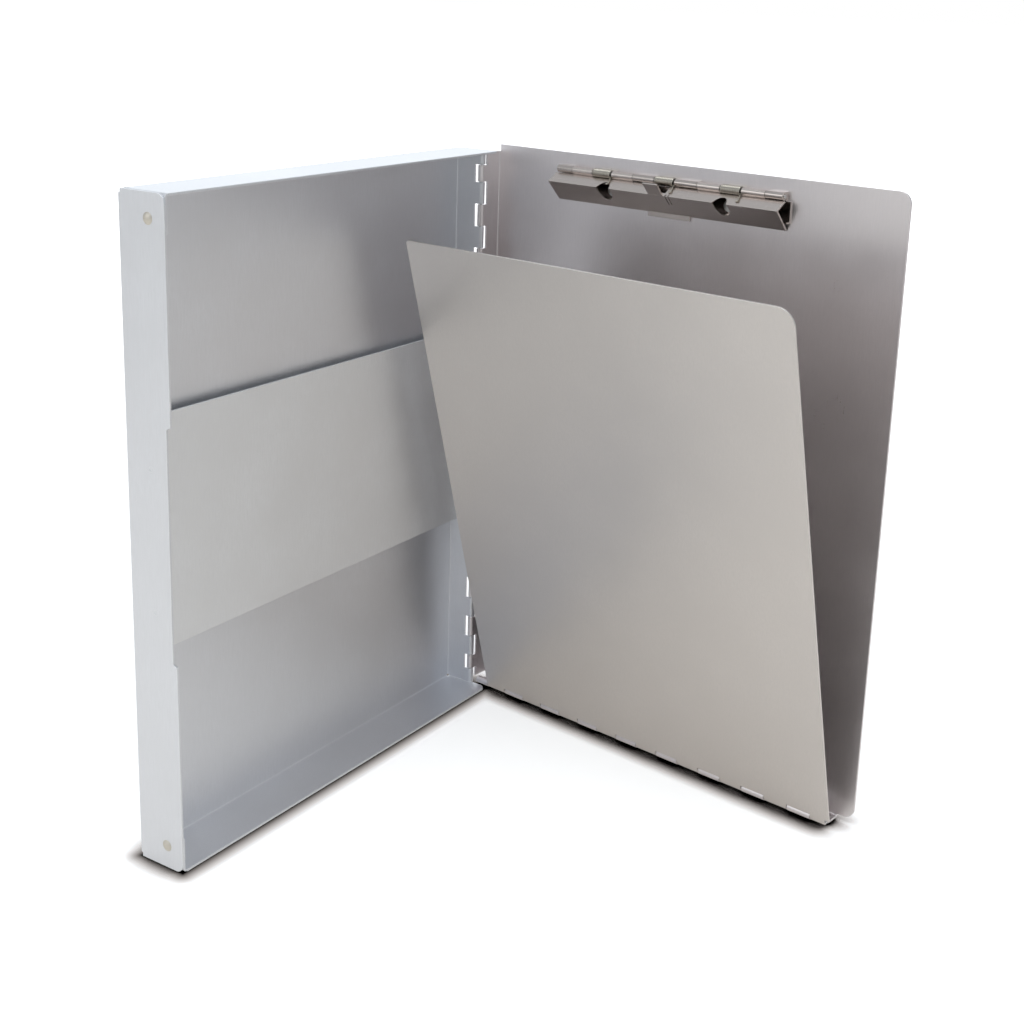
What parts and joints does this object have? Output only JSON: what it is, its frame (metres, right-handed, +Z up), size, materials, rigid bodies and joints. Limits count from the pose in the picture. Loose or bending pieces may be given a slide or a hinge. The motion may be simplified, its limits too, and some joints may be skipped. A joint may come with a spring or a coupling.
{
  "type": "storage clipboard box",
  "caption": "Shallow sheet-metal forms box with a retaining strap, a side-hinged cover carrying a spring clip, and a hinged writing flap on the cover's ledge.",
  "frame": {"origin": "centre of the tray's bottom face, on the surface the box stands on", "axes": "+Z up the tray, +X across the tray towards the main hinge, the tray opens towards -Y"},
  "size_m": [0.2442, 0.2478, 0.298],
  "materials": {
    "tray_sheet": "satin mill finish",
    "strap_sheet": "satin mill finish",
    "cover_sheet": "satin mill finish",
    "flap_sheet": "satin mill finish",
    "clip_nickel": "bright nickel plate",
    "spring_wire": "bright nickel plate",
    "pin_steel": "bright drawn wire",
    "rivet_nickel": "satin nickel tint",
    "clip_rivet_steel": "satin"
  },
  "bodies": {
    "tray": {"tray_shell": "tray_sheet", "retainer_strap": "strap_sheet", "corner_rivet_top": "rivet_nickel", "corner_rivet_bottom": "rivet_nickel", "main_hinge_pin": "pin_steel"},
    "cover": {"cover_panel": "cover_sheet", "flap_hinge_pin": "pin_steel", "clip_base_plate": "clip_nickel", "clip_rivet_left": "clip_rivet_steel", "clip_rivet_right": "clip_rivet_steel", "clip_pin": "pin_steel"},
    "flap": {"writing_flap": "flap_sheet"},
    "jaw": {"clip_jaw": "clip_nickel", "clip_spring_left": "spring_wire", "clip_spring_centre": "spring_wire", "clip_spring_right": "spring_wire"}
  },
  "joints": [
    {"name": "cover_hinge", "type": "hinge", "parent": "tray", "child": "cover", "pos_m": [0.11585, -0.0018, 0.148], "axis": [0, 0, 1], "range_deg": [-83, 97]},
    {"name": "flap_hinge", "type": "hinge", "parent": "cover", "child": "flap", "pos_m": [0.10271, -0.12109, 0.00335], "axis": [-0.1219, -0.9925, 0], "range_deg": [-17.4, 20.3]},
    {"name": "clip_hinge", "type": "hinge", "parent": "cover", "child": "jaw", "pos_m": [0.11156, -0.11059, 0.29], "axis": [0.1219, 0.9925, 0], "range_deg": [0, 20], "stiffness_Nm_per_rad": 0.2, "springref_deg": -40.11}
  ],
  "couplings": [
    {"joint": "flap_hinge", "follows": "cover_hinge", "ratio": 0.208}
  ]
}
